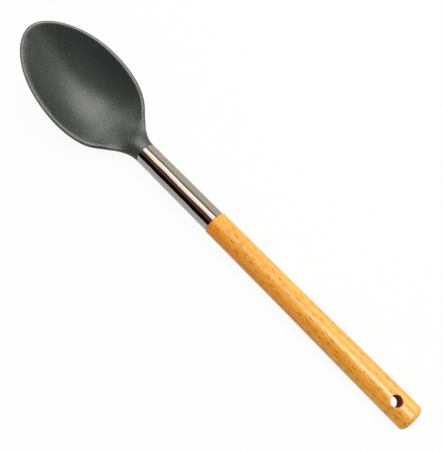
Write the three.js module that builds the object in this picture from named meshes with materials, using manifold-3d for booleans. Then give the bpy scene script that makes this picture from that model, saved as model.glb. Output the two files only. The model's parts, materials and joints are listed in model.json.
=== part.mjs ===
// A cooking spoon: a moulded nylon bowl, a polished steel tube and a lacquered beech handle.
// Millimetres, +Z up. The spoon is drawn along its tube: X runs from the bowl to the handle's end,
// Z points out of the bowl, and X = 0 is the plane where the nylon neck meets the tube.
// At the end the whole spoon is laid down on its belly and its handle, as on a table.

import * as THREE from 'three';
import { mergeVertices } from 'three/addons/utils/BufferGeometryUtils.js';
import Module from 'manifold-3d';

// Steel tube
const tubeDiameter = 14.1;
const tubeWall = 0.6;
const tubeLength = 63;
const tubeEdgeRound = 0.15;
const crimpFromEnd = 10.5;
const crimpWidth = 6;
const crimpDepth = 0.12;

// Fits between the pieces
const glueClearance = 0.15;
const seatGap = 0.12;

// Nylon head, seen from above
const headLength = 105.5;
const bowlWidth = 58.8;
const widestFromNeck = 54;
const shoulderFromNeck = 22.5;
const shoulderWidth = 37;
const neckStraight = 1;

// Fullness of the outline's curves, as shares of the length or width that each one spans
const neckFullness = 0.38;
const shoulderPullBack = 0.3;
const shoulderPullIn = 0.45;
const shoulderPushOn = 0.2;
const shoulderPushOut = 0.58;
const backFullness = 0.51;
const frontFullness = 0.58;
const tipFullness = 0.465;

// Nylon head, seen from the side, heights from the tube's axis
const tipHeight = 26.4;
const rimKneeFromNeck = 20;
const rimKneeSoftness = 14;
const rimCrown = 1.4;
const hollowFromNeck = 13;
const hollowBackSoftness = 2.5;
const bowlFloorFromNeck = 49;
const bowlFloorDrop = 6;
const bowlWall = 2.4;
const lipWidth = 2.1;
const lipHeight = 2;
const lipRound = 0.45;
const lipEdgeSoftness = 0.25;
const sideSteepness = 2.4;
const tipSteepness = 2;

// Stem of the head inside the tube
const stemLength = 27;
const stemChamfer = 1;
const glueGrooveCount = 3;
const glueGrooveDepth = 0.6;
const glueGrooveWidth = 1.6;

// Beech handle
const handleLength = 150.6;
const shoulderStep = 0.5;
const shoulderRound = 0.6;
const waistWidth = 15.1;
const waistFromShoulder = 46;
const fullWidthFromEnd = 21;
const endWidth = 15.9;
const endThickness = 13.3;
const endRound = 2.6;
const tenonLength = 26;
const tenonChamfer = 1.2;

// Hanging hole through the handle
const holeDiameter = 6.3;
const holeFromEnd = 12.75;
const holeChamfer = 0.55;

// Finishes
const nylon = { color: 0x4a4d4c, roughness: 0.5, metalness: 0 };
const stainlessSteel = { color: 0xc8c6c2, roughness: 0.12, metalness: 1 };
const beech = { color: 0xe2a04c, roughness: 0.38, metalness: 0 };

// Facets
const roundSegments = 48;
const outlineSegments = 40;
const bowlSegments = 9;
const handleSegments = 10;
const edgeSegments = 4;
const lipSegments = 4;
const weldDistance = 1e-4;

const { smoothstep, lerp } = THREE.MathUtils;
const halfPi = Math.PI / 2;
const tubeRadius = tubeDiameter / 2;
const boreRadius = tubeRadius - tubeWall;
const plugRadius = boreRadius - glueClearance;
const backOfBowl = (shoulderFromNeck + bowlFloorFromNeck) / 2;

const wasm = await Module();
wasm.setup();

// Closed bodies

// Gives back a geometry with shared vertices, no collapsed triangles and its faces pointing out.
function weld(geometry) {
  geometry.deleteAttribute('normal');
  geometry.deleteAttribute('uv');
  const merged = mergeVertices(geometry, weldDistance);
  const corners = merged.index.array;
  const point = (i) => new THREE.Vector3().fromBufferAttribute(merged.attributes.position, i);
  const triangles = [];
  let volume = 0;
  for (let k = 0; k < corners.length; k += 3) {
    const [a, b, c] = [corners[k], corners[k + 1], corners[k + 2]];
    if (a === b || b === c || c === a) continue;
    triangles.push([a, b, c]);
    volume += point(a).dot(point(b).cross(point(c)));
  }
  const outward = triangles.map(([a, b, c]) => (volume > 0 ? [a, b, c] : [a, c, b]));
  merged.setIndex(outward.flat());
  return merged;
}

// Skins a row of closed rings with equal counts of points. The first and last rings are folded
// flat or drawn to a point, which closes the body.
function loft(rings) {
  const count = rings[0].length;
  const corners = [];
  for (let r = 0; r + 1 < rings.length; r++) {
    for (let i = 0; i < count; i++) {
      const next = (i + 1) % count;
      const [a, b] = [r * count + i, r * count + next];
      const [c, d] = [a + count, b + count];
      corners.push(a, b, d, a, d, c);
    }
  }
  const geometry = new THREE.BufferGeometry().setFromPoints(rings.flat());
  geometry.setIndex(corners);
  return weld(geometry);
}

// Turns a profile of (distance along X, radius) pairs about the X axis.
function turned(profile) {
  const points = profile.map(([x, radius]) => new THREE.Vector2(radius, x));
  return weld(new THREE.LatheGeometry(points, roundSegments).rotateZ(-halfPi));
}

function toSolid(geometry) {
  const mesh = new wasm.Mesh({
    numProp: 3,
    vertProperties: new Float32Array(geometry.attributes.position.array),
    triVerts: new Uint32Array(geometry.index.array),
  });
  return new wasm.Manifold(mesh);
}

function toGeometry(solid) {
  const mesh = solid.getMesh();
  const geometry = new THREE.BufferGeometry();
  geometry.setAttribute('position', new THREE.BufferAttribute(mesh.vertProperties, mesh.numProp));
  geometry.setIndex(new THREE.BufferAttribute(mesh.triVerts, 1));
  return geometry;
}

// Steel tube

// Depth of the rolled crimp that locks the tube to the stem, at a distance from the neck.
function crimpAt(x) {
  const fromMiddle = Math.min(Math.abs(x - crimpFromEnd) / (crimpWidth / 2), 1);
  return crimpDepth * Math.cos(fromMiddle * halfPi) ** 2;
}

function crimpStations() {
  const stations = [];
  for (let k = 0; k <= 2 * edgeSegments; k++) {
    stations.push(crimpFromEnd + (k / edgeSegments - 1) * (crimpWidth / 2));
  }
  return stations;
}

function steelTube() {
  const start = seatGap;
  const end = tubeLength - seatGap;
  const outside = crimpStations().map((x) => [x, tubeRadius - crimpAt(x)]);
  const inside = crimpStations().map((x) => [x, boreRadius - crimpAt(x)]);
  return turned([
    [start, tubeRadius - tubeEdgeRound],
    [start + tubeEdgeRound, tubeRadius],
    ...outside,
    [end - tubeEdgeRound, tubeRadius],
    [end, tubeRadius - tubeEdgeRound],
    [end, boreRadius],
    ...inside.reverse(),
    [start, boreRadius],
    [start, tubeRadius - tubeEdgeRound],
  ]);
}

// Nylon head

// Half of the plan outline, from the neck to the tip, as (distance from the neck, half width).
function headOutline() {
  const neck = new THREE.Vector2(0, tubeRadius);
  const flare = new THREE.Vector2(neckStraight, tubeRadius);
  const shoulder = new THREE.Vector2(shoulderFromNeck, shoulderWidth / 2);
  const widest = new THREE.Vector2(widestFromNeck, bowlWidth / 2);
  const tip = new THREE.Vector2(headLength, 0);
  const flareRun = shoulder.x - flare.x;
  const flareRise = shoulder.y - flare.y;
  const backRun = widest.x - shoulder.x;
  const backRise = widest.y - shoulder.y;
  const frontRun = tip.x - widest.x;
  const from = (point, dx, dy) => new THREE.Vector2(point.x + dx, point.y + dy);
  const outline = new THREE.CurvePath();
  outline.add(new THREE.LineCurve(neck, flare));
  outline.add(new THREE.CubicBezierCurve(
    flare,
    from(flare, neckFullness * flareRun, 0),
    from(shoulder, -shoulderPullBack * flareRun, -shoulderPullIn * flareRise),
    shoulder,
  ));
  outline.add(new THREE.CubicBezierCurve(
    shoulder,
    from(shoulder, shoulderPushOn * backRun, shoulderPushOut * backRise),
    from(widest, -backFullness * backRun, 0),
    widest,
  ));
  outline.add(new THREE.CubicBezierCurve(
    widest,
    from(widest, frontFullness * frontRun, 0),
    from(tip, 0, tipFullness * widest.y),
    tip,
  ));
  return outline.getSpacedPoints(outlineSegments);
}

// Height of the rim: level with the axis at the neck, then rising in a gentle arch to the tip.
function rimHeight(d) {
  const ramp = (at) => (at - rimKneeFromNeck + Math.hypot(at - rimKneeFromNeck, rimKneeSoftness)) / 2;
  const rise = (ramp(d) - ramp(0)) / (ramp(headLength) - ramp(0));
  const arch = Math.max(0, (d - rimKneeFromNeck) / (headLength - rimKneeFromNeck));
  return tipHeight * rise + rimCrown * Math.sin(Math.PI * arch) ** 2;
}

// The neck's round top runs out over the shoulders as a crest, which has sunk to the rim at the back
// of the bowl. This is how far the crest stands above the rim.
function crestCrown(d) {
  return tubeRadius * (1 - smoothstep(d, neckStraight, backOfBowl));
}

// Along the middle, the hollow is a parabola from the crest down to the bowl's floor.
function hollowHeight(d) {
  const backHeight = rimHeight(hollowFromNeck) + crestCrown(hollowFromNeck);
  const toFloor = (bowlFloorFromNeck - d) / (bowlFloorFromNeck - hollowFromNeck);
  return lerp(-bowlFloorDrop, backHeight, toFloor * toFloor);
}

function bellyHeight(d) {
  return lerp(-tubeRadius, -bowlFloorDrop - bowlWall, smoothstep(d, neckStraight, bowlFloorFromNeck));
}

// Softness of the hollow's edge: a broad curve where the neck dips into the bowl, crisp on the lip.
function edgeSoftness(d) {
  const back = hollowBackSoftness * smoothstep(d, neckStraight, hollowFromNeck);
  return lerp(back, lipEdgeSoftness, smoothstep(d, hollowFromNeck, shoulderFromNeck));
}

// The lower of two heights, with the corner between them rounded.
function softLower(a, b, softness) {
  return (a + b - Math.hypot(a - b, softness)) / 2;
}

// Rise of the belly's section, from 0 at the middle to 1 at the rim: a circle at the neck that opens
// into a dish.
function bellyRise(share, roundness, steepness) {
  const circle = 1 - Math.sqrt(Math.max(0, 1 - share * share));
  return lerp(circle, share ** steepness, roundness);
}

// One half section, from the middle of the hollow out over the lip and under to the belly. The dish
// has steep sides and is gentler towards the tip.
function headSection(outlinePoint, side) {
  const foot = Math.min(outlinePoint.x, bowlFloorFromNeck);
  const reach = Math.hypot(outlinePoint.x - foot, outlinePoint.y);
  const across = outlinePoint.y / reach;
  const forward = Math.sqrt(1 - across * across);
  const steepness = lerp(tipSteepness, sideSteepness, across * across);
  const bellyDish = smoothstep(outlinePoint.x, shoulderFromNeck / 2, bowlFloorFromNeck);
  const lip = smoothstep(outlinePoint.x, shoulderFromNeck / 2, backOfBowl);
  const rim = rimHeight(outlinePoint.x);
  const crown = crestCrown(outlinePoint.x);
  const crest = (out) => rim + crown * Math.sqrt(Math.max(0, 1 - (out / reach) ** 2));
  const hollow = reach - lipWidth;
  const softness = edgeSoftness(outlinePoint.x);
  const profile = [];
  for (let k = 0; k <= bowlSegments; k++) {
    const share = Math.sin((k / bowlSegments) * halfPi);
    const dish = lerp(hollowHeight(foot), crest(hollow), share ** steepness);
    profile.push([share * hollow, softLower(crest(share * hollow), dish, softness)]);
  }
  for (let k = 1; k <= lipSegments; k++) {
    const angle = (k / lipSegments) * halfPi;
    const out = lerp(hollow, reach, Math.sin(angle));
    profile.push([out, crest(out) - lip * lipRound * (1 - Math.cos(angle))]);
  }
  const lipFoot = rim - lip * lipHeight;
  for (let k = bowlSegments; k >= 0; k--) {
    const share = Math.sin((k / bowlSegments) * halfPi);
    const rise = bellyRise(share, bellyDish, steepness);
    profile.push([share * reach, lerp(bellyHeight(foot), lipFoot, rise)]);
  }
  return profile.map(([out, z]) => (
    new THREE.Vector3(-foot - out * forward, side * out * across, z)
  ));
}

function nylonHead() {
  const outline = headOutline();
  outline[outlineSegments].y = 0;
  const oneSide = outline.map((point) => headSection(point, 1));
  const otherSide = outline.slice(0, -1).map((point) => headSection(point, -1));
  const sections = [...oneSide, ...otherSide.reverse()];
  const rings = sections[0].map((_, k) => sections.map((section) => section[k]));
  return toGeometry(toSolid(loft(rings)).add(toSolid(headStem())));
}

// The stem fills the tube's bore, follows its crimp and holds the glue in grooves that are spread
// evenly between the crimp and the chamfered end.
function headStem() {
  const radius = plugRadius;
  const groovesStart = crimpFromEnd + crimpWidth / 2;
  const groovesEnd = stemLength - stemChamfer;
  const pitch = (groovesEnd - groovesStart) / glueGrooveCount;
  const profile = [[-radius, 0], [-radius, radius]];
  crimpStations().forEach((x) => profile.push([x, radius - crimpAt(x)]));
  for (let k = 0; k < glueGrooveCount; k++) {
    const x = groovesStart + k * pitch + pitch / 2;
    const half = glueGrooveWidth / 2;
    profile.push([x - half, radius], [x - half / 2, radius - glueGrooveDepth]);
    profile.push([x + half / 2, radius - glueGrooveDepth], [x + half, radius]);
  }
  profile.push([groovesEnd, radius], [stemLength, radius - stemChamfer], [stemLength, 0]);
  return turned(profile);
}

// Beech handle

// A ring of an oval section at a distance along X.
function ovalRing(x, halfWidth, halfThickness) {
  const ring = [];
  for (let k = 0; k < roundSegments; k++) {
    const angle = (k / roundSegments) * 2 * Math.PI;
    ring.push(new THREE.Vector3(x, halfWidth * Math.cos(angle), halfThickness * Math.sin(angle)));
  }
  return ring;
}

// Half width and half thickness at a distance from the shoulder: round at the tube, drawn in to a
// slight waist, then widening and flattening to the end.
function handleSection(s) {
  const shoulderHalf = tubeRadius + shoulderStep;
  const beforeWaist = smoothstep(s, 0, waistFromShoulder);
  const afterWaist = smoothstep(s, waistFromShoulder, handleLength - fullWidthFromEnd);
  const halfWidth = lerp(lerp(shoulderHalf, waistWidth / 2, beforeWaist), endWidth / 2, afterWaist);
  const halfThickness = lerp(shoulderHalf, endThickness / 2, smoothstep(s, 0, handleLength));
  return { halfWidth, halfThickness };
}

function handleRing(s, inset) {
  const { halfWidth, halfThickness } = handleSection(s);
  return ovalRing(tubeLength + s, halfWidth - inset, halfThickness - inset);
}

// The rounded edge at one end: quarter circles that start on the flat face.
function edgeRings(radius, ringAt) {
  const rings = [];
  for (let k = 0; k <= edgeSegments; k++) {
    const angle = (k / edgeSegments) * halfPi;
    rings.push(ringAt(radius * (1 - Math.sin(angle)), radius * (1 - Math.cos(angle))));
  }
  return rings;
}

function woodHandle() {
  const tenonStart = tubeLength - tenonLength;
  const rings = [
    ovalRing(tenonStart, 0, 0),
    ovalRing(tenonStart, plugRadius - tenonChamfer, plugRadius - tenonChamfer),
    ovalRing(tenonStart + tenonChamfer, plugRadius, plugRadius),
    ovalRing(tubeLength, plugRadius, plugRadius),
    ...edgeRings(shoulderRound, (inset, s) => handleRing(s, inset)),
  ];
  const bodyStart = shoulderRound;
  const bodyEnd = handleLength - endRound;
  for (let k = 1; k < handleSegments; k++) {
    rings.push(handleRing(lerp(bodyStart, bodyEnd, k / handleSegments), 0));
  }
  rings.push(...edgeRings(endRound, (inset, s) => handleRing(handleLength - s, inset)).reverse());
  rings.push(ovalRing(tubeLength + handleLength, 0, 0));
  return toGeometry(toSolid(loft(rings)).subtract(toSolid(hangingHole())));
}

// The cutter of the hanging hole: straight through, opening to a small chamfer at both faces.
function hangingHole() {
  const radius = holeDiameter / 2;
  const { halfThickness } = handleSection(handleLength - holeFromEnd);
  const chamferStart = halfThickness - holeChamfer;
  const past = halfThickness + radius;
  const flared = radius + past - chamferStart;
  const drill = turned([
    [-past, 0], [-past, flared], [-chamferStart, radius],
    [chamferStart, radius], [past, flared], [past, 0],
  ]);
  drill.rotateY(-halfPi);
  drill.translate(tubeLength + handleLength - holeFromEnd, 0, 0);
  return drill;
}

// Assembly

function piece(name, geometry, finish) {
  const mesh = new THREE.Mesh(geometry, new THREE.MeshStandardMaterial(finish));
  mesh.name = name;
  return mesh;
}

const head = piece('spoon_head', nylonHead(), nylon);
const tube = piece('steel_tube', steelTube(), stainlessSteel);
const handle = piece('wood_handle', woodHandle(), beech);

const spoon = new THREE.Group();
spoon.add(head, tube, handle);

// Lowest point of a piece as the spoon lies.
function lowestPoint(mesh) {
  mesh.updateWorldMatrix(true, false);
  const lowest = new THREE.Vector3(0, 0, Infinity);
  const point = new THREE.Vector3();
  for (let i = 0; i < mesh.geometry.attributes.position.count; i++) {
    mesh.getVertexPosition(i, point).applyMatrix4(mesh.matrixWorld);
    if (point.z < lowest.z) lowest.copy(point);
  }
  return lowest;
}

// The spoon tips until the belly and the handle's end touch the table together, and is then moved
// to stand on Z = 0 with its length and width centred on the origin.
const settlingSteps = 6;
for (let step = 0; step < settlingSteps; step++) {
  const belly = lowestPoint(head);
  const heel = lowestPoint(handle);
  spoon.rotation.y += Math.atan2(heel.z - belly.z, heel.x - belly.x);
}
spoon.updateWorldMatrix(true, true);
const box = new THREE.Box3().setFromObject(spoon, true);
const middle = box.getCenter(new THREE.Vector3());
spoon.position.set(-middle.x, -middle.y, -box.min.z);

const model = new THREE.Group();
model.add(spoon);

export default model;
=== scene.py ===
# %% [markdown]
# A cooking spoon with a moulded nylon head, a polished steel tube and a lacquered beech handle.
# A CAD model gives three plain solids at their real size and place. This lesson dresses them: each
# solid gets a finer mesh in the same place, and a material that is built from nodes. Everything is
# in metres, in the CAD model's own frame, and sizes are written in millimetres.

# %% Load the frame
import json
import math

import bmesh
import bpy
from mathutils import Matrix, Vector

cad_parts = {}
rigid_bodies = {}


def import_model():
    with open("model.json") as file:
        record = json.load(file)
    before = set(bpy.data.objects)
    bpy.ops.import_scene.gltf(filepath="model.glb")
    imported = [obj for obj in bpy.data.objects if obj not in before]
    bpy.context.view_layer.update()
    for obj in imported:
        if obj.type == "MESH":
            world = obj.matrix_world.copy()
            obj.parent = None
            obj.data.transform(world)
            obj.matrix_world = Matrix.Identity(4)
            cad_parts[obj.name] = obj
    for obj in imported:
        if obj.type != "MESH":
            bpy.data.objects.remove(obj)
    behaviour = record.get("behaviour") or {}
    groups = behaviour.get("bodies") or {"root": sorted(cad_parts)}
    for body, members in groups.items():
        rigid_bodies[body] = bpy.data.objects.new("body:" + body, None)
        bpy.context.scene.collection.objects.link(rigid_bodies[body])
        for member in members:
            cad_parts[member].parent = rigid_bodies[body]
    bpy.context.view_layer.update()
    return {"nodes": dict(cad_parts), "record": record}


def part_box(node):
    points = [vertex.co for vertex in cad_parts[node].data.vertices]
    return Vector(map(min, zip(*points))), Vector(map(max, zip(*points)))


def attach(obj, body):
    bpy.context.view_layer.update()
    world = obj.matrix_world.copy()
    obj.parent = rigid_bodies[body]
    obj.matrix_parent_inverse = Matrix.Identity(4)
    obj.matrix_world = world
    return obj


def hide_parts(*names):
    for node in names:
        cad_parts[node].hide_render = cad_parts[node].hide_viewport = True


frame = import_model()
MM = 0.001

# %% [markdown]
# The spoon lies on a table, so its axis is tipped by a fraction of a degree. It could be measured
# on the meshes, but the record already states the flat face at the handle's end, with its middle
# and the direction that it looks in. Pieces are modelled on a bench where the axis is simply X, and
# are laid into the frame when they are finished.

# %% Find the spoon's axis
mounts = {mount["name"]: mount for mount in frame["record"]["mounts"]}
handle_end = Vector(mounts["handle_end"]["pos_m"])
spoon_axis = Vector(mounts["handle_end"]["axis"]).normalized()
hole_middle = Vector(mounts["hanging_hole"]["pos_m"])
tilt = math.atan2(-spoon_axis.z, spoon_axis.x)

tube_low, tube_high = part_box("steel_tube")
tube_middle = (tube_low + tube_high) / 2
tube_diameter = tube_high.y - tube_low.y
tube_length = (tube_high.x - tube_low.x - tube_diameter * math.sin(tilt)) / math.cos(tilt)
print("tilt in degrees:", round(math.degrees(tilt), 3))
print("tube in mm:", round(tube_diameter / MM, 2), "by", round(tube_length / MM, 2))

# %% [markdown]
# Modelling by hand means selecting something and then using an operator on it. A script has no
# mouse, so these helpers select by place: a test looks at each vertex, edge or face and says
# whether it is wanted. Everything is deselected first, because loading leaves the solids selected.
# Places that are closer than a micrometre count as the same.

# %% Helpers for modelling
WELD = 1e-6


def make_active(piece):
    """Selects one piece alone, so that operators act on it."""
    bpy.ops.object.select_all(action="DESELECT")
    piece.select_set(True)
    bpy.context.view_layer.objects.active = piece


def pick(piece, kind, wanted):
    """Selects the vertices ("VERT"), edges ("EDGE") or faces ("FACE") that pass a test."""
    bpy.ops.mesh.select_mode(type=kind)
    bpy.ops.mesh.select_all(action="DESELECT")
    mesh = bmesh.from_edit_mesh(piece.data)
    elements = {"VERT": mesh.verts, "EDGE": mesh.edges, "FACE": mesh.faces}[kind]
    found = [element for element in elements if wanted(element)]
    for element in found:
        element.select_set(True)
    mesh.select_flush_mode()
    bmesh.update_edit_mesh(piece.data)
    return len(found)


def lay_in_frame(piece, origin):
    """Moves a finished piece from the bench to its place, and keeps that place in its mesh."""
    bpy.ops.object.mode_set(mode="OBJECT")
    make_active(piece)
    piece.rotation_euler = (0, tilt, 0)
    piece.location = origin
    bpy.ops.object.transform_apply(location=True, rotation=True, scale=True)
    sides = [round(side / MM, 2) for side in piece.dimensions]
    print(piece.name, len(piece.data.polygons), "faces,", sides, "mm")


# %% [markdown]
# The tube is drawn stainless steel with a wall of 0.6 mm. A cylinder with its inside cut out would
# do, but a turned piece is easier to think of as one small section spun about an axis. The section
# here is a rectangle, the cut wall. Its corners are rounded first, so both ends of the tube get
# their eased edges for free.

# %% Spin the steel tube
tube_wall = 0.6 * MM
tube_edge_round = 0.2 * MM
tube_edge_segments = 3
spin_steps = 144
tube_radius = tube_diameter / 2

bpy.ops.object.select_all(action="DESELECT")
bpy.ops.mesh.primitive_plane_add(size=1)
tube = bpy.context.object
tube.name = "polished_tube"
tube.scale = (tube_length, tube_wall, 1)
tube.location = (0, tube_radius - tube_wall / 2, 0)
bpy.ops.object.transform_apply(location=True, rotation=True, scale=True)
bpy.ops.object.mode_set(mode="EDIT")
bpy.ops.mesh.select_all(action="SELECT")
bpy.ops.mesh.bevel(offset=tube_edge_round, segments=tube_edge_segments, affect="VERTICES")
bpy.ops.mesh.delete(type="ONLY_FACE")
bpy.ops.mesh.select_all(action="SELECT")
bpy.ops.mesh.spin(steps=spin_steps, angle=math.tau, center=(0, 0, 0), axis=(1, 0, 0))
bpy.ops.mesh.select_all(action="SELECT")
bpy.ops.mesh.remove_doubles(threshold=WELD)
bpy.ops.mesh.normals_make_consistent(inside=False)
print("tube faces:", len(bmesh.from_edit_mesh(tube.data).faces))

# %% [markdown]
# A shallow groove is rolled into the tube near the bowl and locks it to the stem inside. It could
# be drawn into the section before the spin, but the plain tube is easier to cut than to redraw.
# Long faces can't bend, so the tube is cut into rings there with bisect, and each ring is drawn in
# a little. Two more cuts close to the ends keep the rounded edges from pulling the shading of the
# long wall.

# %% Roll the crimp
crimp_from_neck = 10.5 * MM
crimp_width = 6 * MM
crimp_depth = 0.12 * MM
crimp_rings = 12
seat_gap = 0.12 * MM
end_support = 0.45 * MM

crimp_middle = crimp_from_neck - seat_gap - tube_length / 2
ring_places = [crimp_middle + crimp_width * (k / crimp_rings - 0.5) for k in range(crimp_rings + 1)]
support_places = [end_support - tube_length / 2, tube_length / 2 - end_support]
for place in ring_places + support_places:
    bpy.ops.mesh.select_all(action="SELECT")
    bpy.ops.mesh.bisect(plane_co=(place, 0, 0), plane_no=(1, 0, 0))
for place in ring_places:
    pick(tube, "VERT", lambda vertex: abs(vertex.co.x - place) < WELD)
    depth = crimp_depth * math.cos(math.pi * (place - crimp_middle) / crimp_width) ** 2
    drawn_in = 1 - depth / tube_radius
    bpy.ops.transform.resize(value=(1, drawn_in, drawn_in), center_override=(0, 0, 0))
lay_in_frame(tube, tube_middle)

# %% [markdown]
# The beech handle was turned and then planed a little flatter towards its end. A stretched cylinder
# would be too straight, so its width and its thickness follow two gentle curves. The width stays even
# for the first 46 mm and then widens, and the thickness thins all the way. Both ease in and out.

# %% The handle's sizes
shoulder_step = 0.5 * MM
even_from_shoulder = 46 * MM
end_width = 15.9 * MM
end_thickness = 13.3 * MM
full_width_from_end = 21 * MM

tube_end = (tube_middle - handle_end).length - tube_length / 2
handle_length = tube_end - seat_gap


def ease(value, start, end):
    """A share that rises smoothly from 0 at the start to 1 at the end."""
    share = min(max((value - start) / (end - start), 0), 1)
    return share * share * (3 - 2 * share)


def blend(a, b, share):
    return a + (b - a) * share


def half_sizes(from_shoulder):
    """Half width and half thickness of the handle at a distance from its shoulder."""
    shoulder = tube_radius + shoulder_step
    widening = ease(from_shoulder, even_from_shoulder, handle_length - full_width_from_end)
    thinning = ease(from_shoulder, 0, handle_length)
    return blend(shoulder, end_width / 2, widening), blend(shoulder, end_thickness / 2, thinning)


print("handle length in mm:", round(handle_length / MM, 2))

# %% [markdown]
# The curves are read off at stations, each a place along the handle with its half width and half
# thickness. The tenon that is glued into the tube has the first three. The shoulder shares the
# tenon's last place, so the wood steps straight out there. The others follow a millimetre apart and
# keep clear of the shoulder and of the far end, where bevels need the room.

# %% Lay out the handle's stations
glue_gap = 0.15 * MM
tenon_length = 26 * MM
tenon_radius = tube_radius - tube_wall - glue_gap
tenon_chamfer = 1.2 * MM
tenon_end = tenon_radius - tenon_chamfer
end_round = 2.6 * MM
station_step = 1 * MM
first_station = end_round / 2
last_station = handle_length - 1.5 * end_round

stations = [
    (-tenon_length, tenon_end, tenon_end),
    (tenon_chamfer - tenon_length, tenon_radius, tenon_radius),
    (0, tenon_radius, tenon_radius),
    (0, *half_sizes(0)),
]
step_count = round((last_station - first_station) / station_step)
for k in range(step_count + 1):
    from_shoulder = blend(first_station, last_station, k / step_count)
    stations.append((from_shoulder, *half_sizes(from_shoulder)))
stations.append((handle_length, *half_sizes(handle_length)))
print("stations:", len(stations))

# %% [markdown]
# The handle starts as a circle, the end of the tenon, and is extruded from station to station. The
# ring that was extruded last stays selected, so the next extrude and resize act on it. Both ends
# are then filled. Two bevels follow: a small one on the shoulder, where the wood stands proud of
# the steel, and a large one that rounds the far end over.

# %% Extrude the handle
ring_points = 120
shoulder_round = 0.45 * MM
shoulder_segments = 4
end_segments = 12
tenon_start = stations[0][0] - handle_length

bpy.ops.object.select_all(action="DESELECT")
bpy.ops.mesh.primitive_circle_add(vertices=ring_points, radius=tenon_end, rotation=(0, math.pi / 2, 0))
handle = bpy.context.object
handle.name = "lacquered_handle"
handle.location.x = tenon_start
bpy.ops.object.transform_apply(location=True, rotation=True, scale=True)
bpy.ops.object.mode_set(mode="EDIT")
bpy.ops.mesh.select_mode(type="EDGE")
bpy.ops.mesh.select_all(action="SELECT")
for before, after in zip(stations, stations[1:]):
    move = {"value": (after[0] - before[0], 0, 0)}
    bpy.ops.mesh.extrude_edges_move(TRANSFORM_OT_translate=move)
    grow = (1, after[1] / before[1], after[2] / before[2])
    bpy.ops.transform.resize(value=grow, center_override=(0, 0, 0))
bpy.ops.mesh.edge_face_add()


def on_ring(place, radius):
    """A test for the edges of a ring at a place along the bench, outside a radius."""
    return lambda edge: all(
        abs(vertex.co.x - place) < WELD and math.hypot(vertex.co.y, vertex.co.z) > radius
        for vertex in edge.verts
    )


pick(handle, "EDGE", on_ring(tenon_start, 0))
bpy.ops.mesh.edge_face_add()
bpy.ops.mesh.select_all(action="SELECT")
bpy.ops.mesh.normals_make_consistent(inside=False)
rounded = pick(handle, "EDGE", on_ring(-handle_length, tube_radius))
bpy.ops.mesh.bevel(offset=shoulder_round, segments=shoulder_segments, affect="EDGES")
rounded += pick(handle, "EDGE", on_ring(0, 0))
bpy.ops.mesh.bevel(offset=end_round, segments=end_segments, affect="EDGES")
print("edges rounded over:", rounded)

# %% [markdown]
# The hanging hole goes straight through, and its edge is sanded round. A cutter with a flared end
# would round it unevenly, because the handle's top is curved. So a plain cutter first takes the
# hole out as wide as the rounding, with a Boolean modifier, and the wall that it leaves is deleted.

# %% Cut the hanging hole
hole_diameter = 6.3 * MM
hole_radius = hole_diameter / 2
hole_round = 0.55 * MM
cutter_points = 72
wall_lean = 0.1

hole_x = -(handle_end - hole_middle).length
open_radius = hole_radius + hole_round
bpy.ops.object.mode_set(mode="OBJECT")
bpy.ops.object.select_all(action="DESELECT")
bpy.ops.mesh.primitive_cylinder_add(
    vertices=cutter_points, radius=open_radius, depth=2 * end_width, location=(hole_x, 0, 0)
)
cutter = bpy.context.object
make_active(handle)
bpy.ops.object.modifier_add(type="BOOLEAN")
drill = handle.modifiers[-1]
drill.object = cutter
drill.operation = "DIFFERENCE"
bpy.ops.object.modifier_apply(modifier=drill.name)
bpy.data.objects.remove(cutter)


def in_hole(face):
    middle = face.calc_center_median()
    beside = math.hypot(middle.x - hole_x, middle.y)
    return beside < open_radius and abs(face.normal.z) < wall_lean


bpy.ops.object.mode_set(mode="EDIT")
print("wall faces taken away:", pick(handle, "FACE", in_hole))
bpy.ops.mesh.delete(type="FACE")

# %% [markdown]
# A bevel could round the hole's edge, but it tends to fold where long thin faces meet it. Each open
# edge already follows the wood, so it is extruded inwards and down instead, in small steps along a
# quarter circle. Bridging the two edges then makes the wall of the hole.

# %% Round the hole's edges and bridge its wall
round_steps = 6

for side in (1, -1):
    pick(handle, "EDGE", lambda edge: edge.is_boundary and edge.verts[0].co.z * side > 0)
    reach, depth = open_radius, 0
    for k in range(1, round_steps + 1):
        angle = math.pi / 2 * k / round_steps
        next_reach = hole_radius + hole_round * (1 - math.sin(angle))
        next_depth = hole_round * (1 - math.cos(angle))
        move = {"value": (0, 0, side * (depth - next_depth))}
        bpy.ops.mesh.extrude_edges_move(TRANSFORM_OT_translate=move)
        closer = next_reach / reach
        bpy.ops.transform.resize(value=(closer, closer, 1), center_override=(hole_x, 0, 0))
        reach, depth = next_reach, next_depth
print("edges to bridge:", pick(handle, "EDGE", lambda edge: edge.is_boundary))
bpy.ops.mesh.bridge_edge_loops()
bpy.ops.mesh.select_all(action="SELECT")
bpy.ops.mesh.normals_make_consistent(inside=False)
lay_in_frame(handle, handle_end)

# %% [markdown]
# The head is one moulding: a deep oval bowl with a flat lip, shoulders that flow into a round neck,
# and a stem inside the tube. It could be pushed out of a sphere, but its long double curves are
# hard to hit that way. The CAD loft already has the rows of faces that a modeller would lay by
# hand, so a copy of it is merged and its triangles are paired into quads. Subdivision Surface will
# round them later, and a full crease keeps the neck's edge and the hidden stem as they are.

# %% Copy the nylon head
neck = tube_middle - spoon_axis * (tube_length / 2 + seat_gap)
neck_slack = 0.02 * MM
quad_angle = math.radians(60)
full_crease = 1


def from_neck(place):
    """How far a place lies from the neck, along the spoon's axis towards the bowl's tip."""
    return (neck - place).dot(spoon_axis)


def on_stem(edge):
    return all(from_neck(vertex.co) < neck_slack for vertex in edge.verts)


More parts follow.
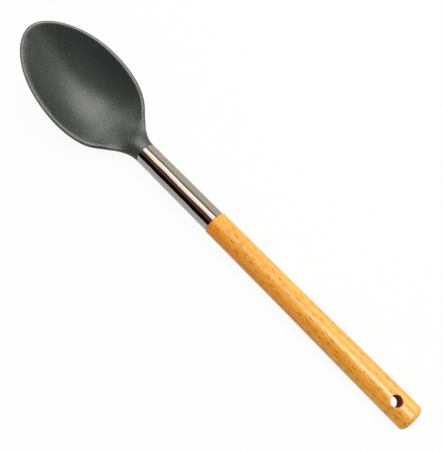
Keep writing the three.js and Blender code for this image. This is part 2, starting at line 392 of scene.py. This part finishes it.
head = bpy.data.objects.new("moulded_head", frame["nodes"]["spoon_head"].data.copy())
bpy.context.collection.objects.link(head)
head.data.materials.clear()
make_active(head)
bpy.ops.object.mode_set(mode="EDIT")
bpy.ops.mesh.select_all(action="SELECT")
bpy.ops.mesh.remove_doubles(threshold=WELD)
bpy.ops.mesh.tris_convert_to_quads(face_threshold=quad_angle, shape_threshold=quad_angle)
print("creased edges at the neck and stem:", pick(head, "EDGE", on_stem))
bpy.ops.transform.edge_crease(value=full_crease)

# %% [markdown]
# The lip dips on both shoulders before it runs up to the neck. Pushing it straight down would dent
# the hollow, so a scale about the table lowers lip and hollow together. Proportional editing lets
# the change fade out: the picked vertices move all the way, and their neighbours less and less.

# %% Lower the shoulders
dip_zone = (19 * MM, 30 * MM)
dip_scale = 0.9
dip_reach = 9 * MM
fading = {
    "use_proportional_edit": True,
    "proportional_edit_falloff": "SMOOTH",
    "use_proportional_connected": True,
}


def on_dip(vertex):
    return dip_zone[0] < from_neck(vertex.co) < dip_zone[1]


print("vertices lowered:", pick(head, "VERT", on_dip))
bpy.ops.transform.resize(
    value=(1, 1, dip_scale), center_override=(0, 0, 0), proportional_size=dip_reach, **fading
)

# %% [markdown]
# Both back corners of the hollow reach close to the neck, and are drawn there in the same way. The
# outer wall and the lip's rim are hidden meanwhile. What is hidden doesn't move, so the spoon keeps
# its outline. A face is told by the upward part of its normal: 1 looks straight up, and 0 is upright.

# %% Draw the hollow's corners towards the neck
outer_limit = 0.2
corner_zone = (13 * MM, 22 * MM)
corner_across = (6 * MM, 11.5 * MM)
corner_shift = (1.8 * MM, 0, 0)
shift_reach = 7 * MM
facing_up = 0.4


def at_corner(vertex):
    along = corner_zone[0] < from_neck(vertex.co) < corner_zone[1]
    across = corner_across[0] < abs(vertex.co.y) < corner_across[1]
    return along and across and vertex.normal.z > facing_up and not vertex.hide


print("faces of the outer wall:", pick(head, "FACE", lambda face: face.normal.z < outer_limit))
bpy.ops.mesh.select_more()
bpy.ops.mesh.hide(unselected=False)
print("vertices at the corners:", pick(head, "VERT", at_corner))
bpy.ops.transform.translate(value=corner_shift, proportional_size=shift_reach, **fading)
bpy.ops.mesh.reveal(select=False)

# %% [markdown]
# The lip's inner edge is crisp on the real moulding, so it gets a full crease as well. It could be
# picked by hand, one edge after another. Here it is found by its faces: they meet at an angle, and
# the flatter one lies on the outer side. The vertices of these flat faces also get a number, called
# lip, which fades out towards the neck and which the nylon's material reads for a painted highlight.

# %% Crease and mark the lip
lip_angle = math.radians(18)
lip_start = 16 * MM
lip_fade = (10 * MM, 24 * MM)
flat_enough = 0.8
bowl_from_neck = 49 * MM
bowl_middle = neck - spoon_axis * bowl_from_neck


def lip_face(edge):
    """The flat face outside the lip's inner edge, or nothing for any other edge."""
    if len(edge.link_faces) != 2 or edge.calc_face_angle() < lip_angle:
        return None
    flat_face = max(edge.link_faces, key=lambda face: face.normal.z)
    edge_middle = (edge.verts[0].co + edge.verts[1].co) / 2
    if from_neck(edge_middle) < lip_start:
        return None
    across = (flat_face.calc_center_median() - edge_middle).to_2d()
    outside = across.dot((edge_middle - bowl_middle).to_2d()) > 0
    return flat_face if outside and flat_face.normal.z > flat_enough else None


print("creased edges on the lip:", pick(head, "EDGE", lip_face))
bpy.ops.transform.edge_crease(value=full_crease)
bpy.ops.mesh.mark_sharp()
mesh = bmesh.from_edit_mesh(head.data)
lip_layer = mesh.verts.layers.float.new("lip")
for face in {lip_face(edge) for edge in mesh.edges} - {None}:
    for vertex in face.verts:
        vertex[lip_layer] = ease(from_neck(vertex.co), *lip_fade)
bmesh.update_edit_mesh(head.data)

# %% [markdown]
# Subdivision Surface splits every face into four and rounds the shape between the creases. It could
# stay live, but the next step works on the fine vertices, so it is applied.

# %% Round the head
rounding_levels = 2

bpy.ops.object.mode_set(mode="OBJECT")
bpy.ops.object.modifier_add(type="SUBSURF")
rounding = head.modifiers[-1]
rounding.levels = rounding_levels
rounding.render_levels = rounding_levels
bpy.ops.object.modifier_apply(modifier=rounding.name)
print("head faces:", len(head.data.polygons))

# %% [markdown]
# On the shoulders the lip melts into the neck. Smoothing moves each picked vertex towards the middle
# of its neighbours, again and again, until the step is gone. The outer wall is left out of it, so
# the outline stays as it is.

# %% Melt the lip into the neck
shoulder_zone = (3 * MM, 16 * MM)
wall_limit = 0.3
smooth_share = 0.5
smooth_rounds = 70


def on_shoulder(vertex):
    in_zone = shoulder_zone[0] < from_neck(vertex.co) < shoulder_zone[1]
    return in_zone and vertex.normal.z > wall_limit


bpy.ops.object.mode_set(mode="EDIT")
print("vertices smoothed:", pick(head, "VERT", on_shoulder))
bpy.ops.mesh.vertices_smooth(factor=smooth_share, repeat=smooth_rounds)
bpy.ops.object.mode_set(mode="OBJECT")

# %% [markdown]
# Smooth shading blends the light across faces, so the facets of a fine mesh vanish. An angle limit
# keeps real corners sharp, such as the lip's inner edge and the corners of the tenon.

# %% Shade the pieces smooth
corner_angle = math.radians(40)

for piece in (head, tube, handle):
    make_active(piece)
    bpy.ops.object.shade_smooth_by_angle(angle=corner_angle)
    print(piece.name, "keeps sharp edges:", sum(edge.use_edge_sharp for edge in piece.data.edges))

# %% [markdown]
# Materials are node trees. One function adds a node, sets its options and fills or links its
# inputs. Colours are written as sRGB hex values, as a paint program shows them, and one function
# turns them into the linear values that the shaders work with. A pattern's size is written in
# millimetres. Noise rarely leaves the range from 0.3 to 0.7, so a Map Range node spreads that range
# over the values that a finish needs. A Mix node has sockets of the same names for numbers, vectors
# and colours, so its colour sockets are called by their numbers.

# %% Helpers for materials
NOISE_LOW, NOISE_HIGH = 0.3, 0.7
SHARE, FIRST, SECOND, MIXED = 0, 6, 7, 2


def colour(hex_code):
    channels = [int(hex_code[i:i + 2], 16) / 255 for i in (1, 3, 5)]
    return (*[c / 12.92 if c <= 0.04045 else ((c + 0.055) / 1.055) ** 2.4 for c in channels], 1)


def add_node(tree, kind, inputs=None, **options):
    node = tree.nodes.new(kind)
    for name, value in options.items():
        setattr(node, name, value)
    for name, value in (inputs or {}).items():
        if isinstance(value, bpy.types.NodeSocket):
            tree.links.new(value, node.inputs[name])
        else:
            node.inputs[name].default_value = value
    return node


def new_material(name):
    material = bpy.data.materials.new(name)
    material.use_nodes = True
    return material, material.node_tree, material.node_tree.nodes["Principled BSDF"]


def per_mm(*sizes):
    """Scales for a Mapping node, so that one unit of the pattern is that many millimetres."""
    return tuple(1 / (size * MM) for size in sizes)


# %% [markdown]
# Nylon comes out of its mould dark grey, with the fine grain of the mould's wall and faint clouds
# where the melt has flowed. One flat colour would look like paint, so the clouds shift the tone, and
# the grain lightens and darkens it in specks. The grain of a real moulding is about 0.1 mm, too fine
# to show here, so it is drawn at 0.75 mm. The lip is painted paler, a painted highlight for the light
# that its flat top catches, and that is what its mark is for.

# %% Colour the moulded nylon
grain_size = 0.75
cloud_size = 14

nylon, tree, shader = new_material("moulded_nylon")
spot = add_node(tree, "ShaderNodeTexCoord").outputs["Object"]
grain_scale = per_mm(grain_size, grain_size, grain_size)
grain_map = add_node(tree, "ShaderNodeMapping", {"Vector": spot, "Scale": grain_scale})
grain = add_node(tree, "ShaderNodeTexNoise", {"Vector": grain_map.outputs[0], "Scale": 1, "Detail": 3})
cloud_scale = per_mm(cloud_size, cloud_size, cloud_size)
cloud_map = add_node(tree, "ShaderNodeMapping", {"Vector": spot, "Scale": cloud_scale})
cloud = add_node(tree, "ShaderNodeTexNoise", {"Vector": cloud_map.outputs[0], "Scale": 1, "Detail": 2})
tones = {SHARE: cloud.outputs[0], FIRST: colour("#242a27"), SECOND: colour("#2c322f")}
tone = add_node(tree, "ShaderNodeMix", tones, data_type="RGBA")
# The lip's mark lays a paler tone on it: a painted highlight for the light that the flat lip catches.
lip_highlight_share = add_node(tree, "ShaderNodeAttribute", attribute_name="lip").outputs["Fac"]
tones = {SHARE: lip_highlight_share, FIRST: tone.outputs[MIXED], SECOND: colour("#4c4e4a")}
painted_lip_highlight = add_node(tree, "ShaderNodeMix", tones, data_type="RGBA")
speck = add_node(tree, "ShaderNodeMapRange", {
    "Value": grain.outputs[0], "From Min": NOISE_LOW, "From Max": NOISE_HIGH,
    "To Min": 0.7, "To Max": 1.3,
})
layers = {SHARE: 1, FIRST: painted_lip_highlight.outputs[MIXED], SECOND: speck.outputs[0]}
body = add_node(tree, "ShaderNodeMix", layers, data_type="RGBA", blend_type="MULTIPLY")
tree.links.new(body.outputs[MIXED], shader.inputs["Base Color"])
print("nylon nodes for the colour:", len(tree.nodes))

# %% [markdown]
# The surface is satin: a soft glow where the light meets it, and a faint sparkle. Both come from the
# same grain. It varies the roughness, and it gives the surface its relief through a Bump node, as
# modelling it would take millions of faces.

# %% Give the nylon its satin
grain_relief = 0.16 * MM

satin = add_node(tree, "ShaderNodeMapRange", {
    "Value": grain.outputs[0], "From Min": NOISE_LOW, "From Max": NOISE_HIGH,
    "To Min": 0.25, "To Max": 0.53,
})
bumps = {"Height": grain.outputs[0], "Strength": 1, "Distance": grain_relief}
relief = add_node(tree, "ShaderNodeBump", bumps)
tree.links.new(satin.outputs[0], shader.inputs["Roughness"])
tree.links.new(relief.outputs[0], shader.inputs["Normal"])
shader.inputs["IOR"].default_value = 1.53
print("nylon nodes:", len(tree.nodes))

# %% [markdown]
# Polished stainless steel is almost a mirror, so what it shows is its surroundings. Its own marks
# are faint: lines along the tube, left by the drawing die and the polishing belt, and a slight
# unevenness of the wall that makes reflections waver. Both are noise, stretched along the tube. The
# lines are a few hundredths of a millimetre apart on the real tube, too fine to show, and are drawn
# 0.25 mm across and 30 mm long.

# %% Polished stainless steel
line_length, line_width = 30, 0.25
wave_length, wave_width = 9, 5
wave_relief = 0.14 * MM

steel, tree, shader = new_material("polished_stainless_steel")
spot = add_node(tree, "ShaderNodeTexCoord").outputs["Object"]
line_scale = per_mm(line_length, line_width, line_width)
line_map = add_node(tree, "ShaderNodeMapping", {"Vector": spot, "Scale": line_scale})
lines = add_node(tree, "ShaderNodeTexNoise", {"Vector": line_map.outputs[0], "Scale": 1, "Detail": 2})
tones = {SHARE: lines.outputs[0], FIRST: colour("#c2bfba"), SECOND: colour("#cdcbc7")}
tone = add_node(tree, "ShaderNodeMix", tones, data_type="RGBA")
polish = add_node(tree, "ShaderNodeMapRange", {
    "Value": lines.outputs[0], "From Min": NOISE_LOW, "From Max": NOISE_HIGH,
    "To Min": 0.05, "To Max": 0.09,
})
wave_scale = per_mm(wave_length, wave_width, wave_width)
wave_map = add_node(tree, "ShaderNodeMapping", {"Vector": spot, "Scale": wave_scale})
waves = add_node(tree, "ShaderNodeTexNoise", {"Vector": wave_map.outputs[0], "Scale": 1, "Detail": 0})
bumps = {"Height": waves.outputs[0], "Strength": 1, "Distance": wave_relief}
relief = add_node(tree, "ShaderNodeBump", bumps)
tree.links.new(tone.outputs[MIXED], shader.inputs["Base Color"])
tree.links.new(polish.outputs[0], shader.inputs["Roughness"])
tree.links.new(relief.outputs[0], shader.inputs["Normal"])
shader.inputs["Metallic"].default_value = 1
print("steel nodes:", len(tree.nodes))

# %% [markdown]
# Beech under clear lacquer is warm orange. The handle is painted darker on its near side and paler
# on its far side, where the lamps are: painted shade, with its border turned a little so that it
# drifts across along the length. Soft broad bands of tone lie over it.
# All the patterns of the wood are solid, so they run through it and show on every face.

# %% Paint shade across the beech and lay soft bands over it
painted_shade_turn = math.radians(3.5)
painted_shade_dark_at, painted_shade_pale_at = -6 * MM, 9 * MM
band_length, band_width = 85, 4.5

beech, tree, shader = new_material("lacquered_beech")
spot = add_node(tree, "ShaderNodeTexCoord").outputs["Object"]
band_scale = per_mm(band_length, band_width, band_width)
band_map = add_node(tree, "ShaderNodeMapping", {"Vector": spot, "Scale": band_scale})
bands = add_node(tree, "ShaderNodeTexNoise", {"Vector": band_map.outputs[0], "Scale": 1, "Detail": 3})
band_share = add_node(tree, "ShaderNodeMapRange", {
    "Value": bands.outputs[0], "From Min": 0.35, "From Max": 0.65, "To Min": -0.3, "To Max": 0.3,
})
# Painted shade: darker on the handle's near side, paler on its far side where the lamps are.
pattern_map = add_node(tree, "ShaderNodeMapping", {"Vector": spot, "Rotation": (0, 0, painted_shade_turn)})
painted_shade_side = add_node(tree, "ShaderNodeSeparateXYZ", {"Vector": pattern_map.outputs[0]})
painted_shade_share = add_node(tree, "ShaderNodeMapRange", {
    "Value": painted_shade_side.outputs["Y"], "From Min": painted_shade_dark_at, "From Max": painted_shade_pale_at, "To Min": 0, "To Max": 1,
})
shares = {0: painted_shade_share.outputs[0], 1: band_share.outputs[0]}
pale_share = add_node(tree, "ShaderNodeMath", shares, operation="ADD", use_clamp=True)
tones = {SHARE: pale_share.outputs[0], FIRST: colour("#eb901e"), SECOND: colour("#f8b54a")}
tone = add_node(tree, "ShaderNodeMix", tones, data_type="RGBA")
print("beech nodes for the rings:", len(tree.nodes))

# %% [markdown]
# The pores of the wood are cut lengthwise and show as fine streaks along the grain. Noise that is
# stretched along the handle gives them, and they darken or lighten what lies below. Real pores are
# under 0.1 mm wide, too fine to show, so the streaks are drawn 0.6 mm wide.

# %% Draw the fine streaks
streak_length, streak_width = 20, 0.6

streak_scale = per_mm(streak_length, streak_width, streak_width)
streak_map = add_node(tree, "ShaderNodeMapping", {"Vector": spot, "Scale": streak_scale})
streaks = add_node(tree, "ShaderNodeTexNoise", {"Vector": streak_map.outputs[0], "Scale": 1, "Detail": 3})
streak_share = add_node(tree, "ShaderNodeMapRange", {
    "Value": streaks.outputs[0], "From Min": NOISE_LOW, "From Max": NOISE_HIGH,
    "To Min": 0.86, "To Max": 1.08,
})
layers = {SHARE: 1, FIRST: tone.outputs[MIXED], SECOND: streak_share.outputs[0]}
streaked = add_node(tree, "ShaderNodeMix", layers, data_type="RGBA", blend_type="MULTIPLY")
print("beech nodes with the streaks:", len(tree.nodes))

# %% [markdown]
# Beech is known by its rays, which are cut into many short dark flecks. Noise would give them all
# shapes and sizes, so they come from Voronoi cells instead, stretched along the grain: the middle of
# a cell is a fleck, and the cell's own random colour decides whether it is kept. The flecks also sink
# in a little, as rays do when wood dries.

# %% Scatter the ray flecks
fleck_length, fleck_width = 5.5, 0.7
fleck_depth = 0.03 * MM

fleck_scale = per_mm(fleck_length, fleck_width, fleck_width)
fleck_map = add_node(tree, "ShaderNodeMapping", {"Vector": spot, "Scale": fleck_scale})
fleck_cells = add_node(tree, "ShaderNodeTexVoronoi", {"Vector": fleck_map.outputs[0], "Scale": 1})
from_middle = fleck_cells.outputs["Distance"]
fleck_shape = add_node(tree, "ShaderNodeMapRange", {
    "Value": from_middle, "From Min": 0.42, "From Max": 0.22, "To Min": 0, "To Max": 1,
})
fleck_chance = add_node(tree, "ShaderNodeSeparateColor", {"Color": fleck_cells.outputs["Color"]})
fleck_kept = add_node(tree, "ShaderNodeMapRange", {
    "Value": fleck_chance.outputs[0], "From Min": 0.4, "From Max": 0.6, "To Min": 0, "To Max": 0.85,
})
shares = {0: fleck_shape.outputs[0], 1: fleck_kept.outputs[0]}
fleck_share = add_node(tree, "ShaderNodeMath", shares, operation="MULTIPLY")
tones = {SHARE: fleck_share.outputs[0], FIRST: streaked.outputs[MIXED], SECOND: colour("#a8560f")}
flecked = add_node(tree, "ShaderNodeMix", tones, data_type="RGBA")
dents = {"Height": fleck_share.outputs[0], "Strength": 0.1, "Distance": fleck_depth}
relief = add_node(tree, "ShaderNodeBump", dents, invert=True)
tree.links.new(relief.outputs[0], shader.inputs["Normal"])
print("beech nodes with the flecks:", len(tree.nodes))

# %% [markdown]
# The handle's end is darker: partly the end grain, whose cut pores drink more lacquer, and partly
# painted shade on the end, which faces away from the lamps. A second material
# would leave a hard border on the rounded edge, so the direction that the surface looks in decides.
# The lacquer is the shader's own coat: a smooth clear layer over dull wood.

# %% Darken the end, for end grain and painted shade, and lacquer the wood
facing = add_node(tree, "ShaderNodeNewGeometry").outputs["Normal"]
facing_end = add_node(tree, "ShaderNodeSeparateXYZ", {"Vector": facing})
# End grain and painted shade: the end, which faces away from the lamps, is made darker.
end_grain_and_shade_share = add_node(tree, "ShaderNodeMapRange", {
    "Value": facing_end.outputs["X"], "From Min": 0.7, "From Max": 0.95, "To Min": 0, "To Max": 0.85,
})
tones = {SHARE: end_grain_and_shade_share.outputs[0], FIRST: flecked.outputs[MIXED], SECOND: colour("#8a4a14")}
wood_tone = add_node(tree, "ShaderNodeMix", tones, data_type="RGBA")
tree.links.new(wood_tone.outputs[MIXED], shader.inputs["Base Color"])
shader.inputs["Roughness"].default_value = 0.5
shader.inputs["Coat Weight"].default_value = 1
shader.inputs["Coat Roughness"].default_value = 0.2
shader.inputs["Specular IOR Level"].default_value = 0
print("beech nodes:", len(tree.nodes))

# %% [markdown]
# The drill has left the wood inside the hanging hole bare and a little scorched: a dull red-brown
# with rings that the bit cut, 0.4 mm apart. Noise that is flat along the hole gives rings that are
# not quite even, as a worn bit does.

# %% Bare drilled beech
ring_width, ring_height = 2, 0.4
ring_relief = 0.05 * MM

drilled, tree, shader = new_material("drilled_beech")
spot = add_node(tree, "ShaderNodeTexCoord").outputs["Object"]
ring_scale = per_mm(ring_width, ring_width, ring_height)
pattern_map = add_node(tree, "ShaderNodeMapping", {"Vector": spot, "Scale": ring_scale})
rings = add_node(tree, "ShaderNodeTexNoise", {"Vector": pattern_map.outputs[0], "Scale": 1, "Detail": 2})
tones = {SHARE: rings.outputs[0], FIRST: colour("#96451c"), SECOND: colour("#c8814e")}
tone = add_node(tree, "ShaderNodeMix", tones, data_type="RGBA")
bumps = {"Height": rings.outputs[0], "Strength": 0.3, "Distance": ring_relief}
relief = add_node(tree, "ShaderNodeBump", bumps)
tree.links.new(tone.outputs[MIXED], shader.inputs["Base Color"])
tree.links.new(relief.outputs[0], shader.inputs["Normal"])
shader.inputs["Roughness"].default_value = 0.85
shader.inputs["Specular IOR Level"].default_value = 0.15
print("drilled beech nodes:", len(tree.nodes))

# %% [markdown]
# Each finished piece stands for its CAD solid: it rides on the same body, takes the solid's place
# and wears its material.

# %% Hand the pieces over to the frame
for piece, material, node, slot in (
    (head, nylon, "spoon_head", "nylon"),
    (tube, steel, "steel_tube", "stainless_steel"),
    (handle, beech, "wood_handle", "beech"),
):
    piece.data.materials.append(material)
    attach(piece, "root")
    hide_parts(node)
    print(piece.name, "stands for", node)

# %% [markdown]
# The handle carries two materials. A lining of its own could show the bare wood in the hole, but it
# would be a piece that the real spoon doesn't have. So the faces of the hole's wall are picked by
# their distance from the hole's middle, and get the second material.

# %% Line the hole with bare wood
wall_slack = 0.11 * MM
drilled_slot = 1


def on_hole_wall(face):
    beside = (face.calc_center_median() - hole_middle).to_2d().length
    return beside < hole_radius + wall_slack


handle.data.materials.append(drilled)
make_active(handle)
bpy.ops.object.mode_set(mode="EDIT")
print("bare faces in the hole:", pick(handle, "FACE", on_hole_wall))
handle.active_material_index = drilled_slot
bpy.ops.object.material_slot_assign()
bpy.ops.object.mode_set(mode="OBJECT")

# %% [markdown]
# The camera looks down on the spoon from beside the handle. It could be placed by eye, but its place
# and turn were found by lining up the spoon's ends, joints and hole with the photograph, and so was a
# shift of half a pixel.

# %% Set up the camera
image_height = 450
sideways_pixels = -0.5
camera_place = Vector((101.58, -67.26, 317.04)) * MM
camera_turn = [math.radians(angle) for angle in (19.926, 1.906, 46.930)]
sensor_width = 36
lens_length = 44.8
nearest_shown = 10 * MM

bpy.ops.object.camera_add(location=camera_place, rotation=camera_turn)
camera = bpy.context.object
camera.data.sensor_width = sensor_width
camera.data.lens = lens_length
camera.data.shift_x = sideways_pixels / image_height
camera.data.clip_start = nearest_shown
bpy.context.scene.camera = camera
print("camera in mm:", [round(c / MM) for c in camera.location])

# %% [markdown]
# The floor is plain white paper. Lit paper alone would come out grey in places, so to the camera it
# glows almost at full white, and what is left of its matt surface still takes the spoon's shadow.
# Polished steel sees it as a pale, warm table.

# %% Lay the floor
floor_size = 6
floor_drop = 0.2 * MM
glow_most = 0.93

bpy.ops.mesh.primitive_plane_add(size=floor_size, location=(0, 0, -floor_drop))
floor = bpy.context.object
floor.name = "floor"
paper, tree, shader = new_material("white_paper")
shader.inputs["Base Color"].default_value = colour("#f4f4f4")
shader.inputs["Roughness"].default_value = 0.9
shader.inputs["Specular IOR Level"].default_value = 0
rays = add_node(tree, "ShaderNodeLightPath")
seen = rays.outputs["Is Camera Ray"]
kinds = {0: rays.outputs["Is Glossy Ray"], 1: rays.outputs["Is Transmission Ray"]}
mirrored = add_node(tree, "ShaderNodeMath", kinds, operation="MAXIMUM")
kinds = {0: mirrored.outputs[0], 1: seen}
shown = add_node(tree, "ShaderNodeMath", kinds, operation="MAXIMUM")
shares = {0: shown.outputs[0], 1: glow_most}
glow_share = add_node(tree, "ShaderNodeMath", shares, operation="MULTIPLY")
tones = {SHARE: seen, FIRST: colour("#cbc6bd"), SECOND: colour("#ffffff")}
glow_colour = add_node(tree, "ShaderNodeMix", tones, data_type="RGBA")
glow = add_node(tree, "ShaderNodeEmission", {"Color": glow_colour.outputs[MIXED]})
layers = {0: glow_share.outputs[0], 1: shader.outputs[0], 2: glow.outputs[0]}
mixed = add_node(tree, "ShaderNodeMixShader", layers)
tree.links.new(mixed.outputs[0], tree.nodes["Material Output"].inputs["Surface"])
floor.data.materials.append(paper)
print("floor nodes:", len(tree.nodes))

# %% [markdown]
# A mirror needs something to reflect. Photographers hang long cards beside polished steel, and so
# does this scene: cards parallel to the spoon, each seen from the tube between two angles, counted
# from straight above towards the bowl's far side. They show only in reflections, so they neither
# light the spoon nor shade it.

# %% Hang the cards
card_distance = 0.8
card_length = 4
card_middle = -0.4


def hang_card(name, angles, along, distance, glow_hex):
    """A card that the tube sees between two angles, and its material's nodes and emission."""
    angle = math.radians(sum(angles) / 2)
    width = 2 * distance * math.tan(math.radians(angles[1] - angles[0]) / 2)
    middle = (sum(along) / 2, distance * math.sin(angle), distance * math.cos(angle))
    bpy.ops.mesh.primitive_plane_add(size=1, location=middle, rotation=(-angle, 0, 0))
    card = bpy.context.object
    card.name = name
    card.scale = (along[1] - along[0], width, 1)
    card.visible_camera = False
    card.visible_diffuse = False
    card.visible_shadow = False
    material, tree, _ = new_material(name)
    glow = add_node(tree, "ShaderNodeEmission", {"Color": colour(glow_hex)})
    tree.links.new(glow.outputs[0], tree.nodes["Material Output"].inputs["Surface"])
    card.data.materials.append(material)
    return card, tree, glow


all_along = (card_middle - card_length / 2, card_middle + card_length / 2)
for name, start, end, glow_hex, strength in (
    ("black_card", -80, -43, "#000000", 0),
    ("dark_brown_card", -43, -8, "#70433a", 1),
    ("strip_near", -8, 6, "#fffaf2", 1.45),
    ("strip_gap", 6, 10, "#e8d6cc", 1),
    ("strip_far", 10, 27, "#fffaf2", 2),
    ("brown_card", 27, 52, "#a88f7c", 1),
    ("beige_card", 52, 92, "#dccfc3", 1),
):
    card, _, glow = hang_card(name, (start, end), all_along, card_distance, glow_hex)
    glow.inputs["Strength"].default_value = strength
    print("card:", card.name)

# %% [markdown]
# The lacquer shows a highlight and a broad sheen beside it, and both grow towards the handle's end.
# Two more cards hang just in front of the first ones, and their glow rises along the handle. Light
# linking keeps them to the wood, as a photographer's flag would. They are clear apart from their
# glow, so the tube looks through them at its own cards.

# %% Hang the handle's cards
card_gap = 0.01
card_edge = 0.5
handle_along = (-0.2, 0.6)
brightest_at = 0.26
steepness = 2


def light_only(light, pieces):
    """Light linking: the light reaches these pieces and no others."""
    light.light_linking.receiver_collection = bpy.data.collections.new("lit_by_" + light.name)
    for piece in pieces:
        light.light_linking.receiver_collection.objects.link(piece)
    print(light.name, "lights", [piece.name for piece in pieces])


brightest_share = (brightest_at - handle_along[0]) / (handle_along[1] - handle_along[0])
for name, start, end, brightest in (("handle_strip", -20, 44, 11), ("handle_side", 44, 85, 4.5)):
    card, tree, glow = hang_card(name, (start, end), handle_along, card_distance - card_gap, "#d8e6ff")
    spot = add_node(tree, "ShaderNodeTexCoord").outputs["Object"]
    along = add_node(tree, "ShaderNodeSeparateXYZ", {"Vector": spot})
    rising = add_node(tree, "ShaderNodeMapRange", {
        "Value": along.outputs["X"], "From Min": -card_edge, "From Max": brightest_share - card_edge,
        "To Min": 0, "To Max": brightest ** (1 / steepness),
    })
    powers = {0: rising.outputs[0], 1: steepness}
    level = add_node(tree, "ShaderNodeMath", powers, operation="POWER")
    tree.links.new(level.outputs[0], glow.inputs["Strength"])
    clear = add_node(tree, "ShaderNodeBsdfTransparent")
    clear_glow = add_node(tree, "ShaderNodeAddShader", {0: glow.outputs[0], 1: clear.outputs[0]})
    tree.links.new(clear_glow.outputs[0], tree.nodes["Material Output"].inputs["Surface"])
    light_only(card, [handle])

# %% [markdown]
# The light is soft and plain. A big lamp above the bowl's far side lights the nylon alone, and its
# soft mirror image is the highlight on the bowl's floor and the lip. A smaller one low beside it and
# a weak one on the near side lift the shadows of the hollow. A wide lamp overhead lights the wood,
# the steel and the floor, and a low one brightens the handle's far side. The last two would spoil
# the reflections, so mirrors don't show them.

# %% Set the lamps
for name, place, aim, size, energy, in_mirrors, pieces in (
    ("bowl_lamp", (-0.29, 0.28, 0.62), (-0.1, 0, 0), 0.85, 9.6, True, [head]),
    ("glow_lamp", (-0.25, 0.7, 0.42), (-0.1, 0, 0), 0.4, 0.9, True, [head]),
    ("fill_lamp", (-0.05, -0.55, 0.5), (-0.08, 0, 0), 0.6, 0.5, True, [head]),
    ("wide_lamp", (0, 0.36, 0.95), (0, 0, 0), 1, 7.4, False, [handle, tube, floor]),
    ("side_lamp", (0.05, 0.9, 0.3), (0.05, 0, 0), 0.6, 3, False, [handle]),
):
    bpy.ops.object.light_add(type="AREA", location=place)
    lamp = bpy.context.object
    lamp.name = name
    lamp.rotation_euler = (Vector(aim) - Vector(place)).to_track_quat("-Z", "Y").to_euler()
    lamp.data.size = size
    lamp.data.energy = energy
    lamp.visible_glossy = in_mirrors
    light_only(lamp, pieces)

# %% [markdown]
# An even sky fills the shadows. It lights the spoon at half strength, and the camera sees it white,
# like the floor. The Standard view shows a colour as it is written, with no film look over it.

# %% Set the sky
sky_strength = 0.5
white_strength = 1

world = bpy.data.worlds.new("even_sky")
bpy.context.scene.world = world
world.use_nodes = True
sky = world.node_tree.nodes["Background"]
rays = add_node(world.node_tree, "ShaderNodeLightPath")
sky_level = add_node(world.node_tree, "ShaderNodeMapRange", {
    "Value": rays.outputs["Is Camera Ray"], "To Min": sky_strength, "To Max": white_strength,
})
world.node_tree.links.new(sky_level.outputs[0], sky.inputs["Strength"])
sky.inputs["Color"].default_value = colour("#ffffff")
bpy.context.scene.view_settings.view_transform = "Standard"
print("sky nodes:", len(world.node_tree.nodes))
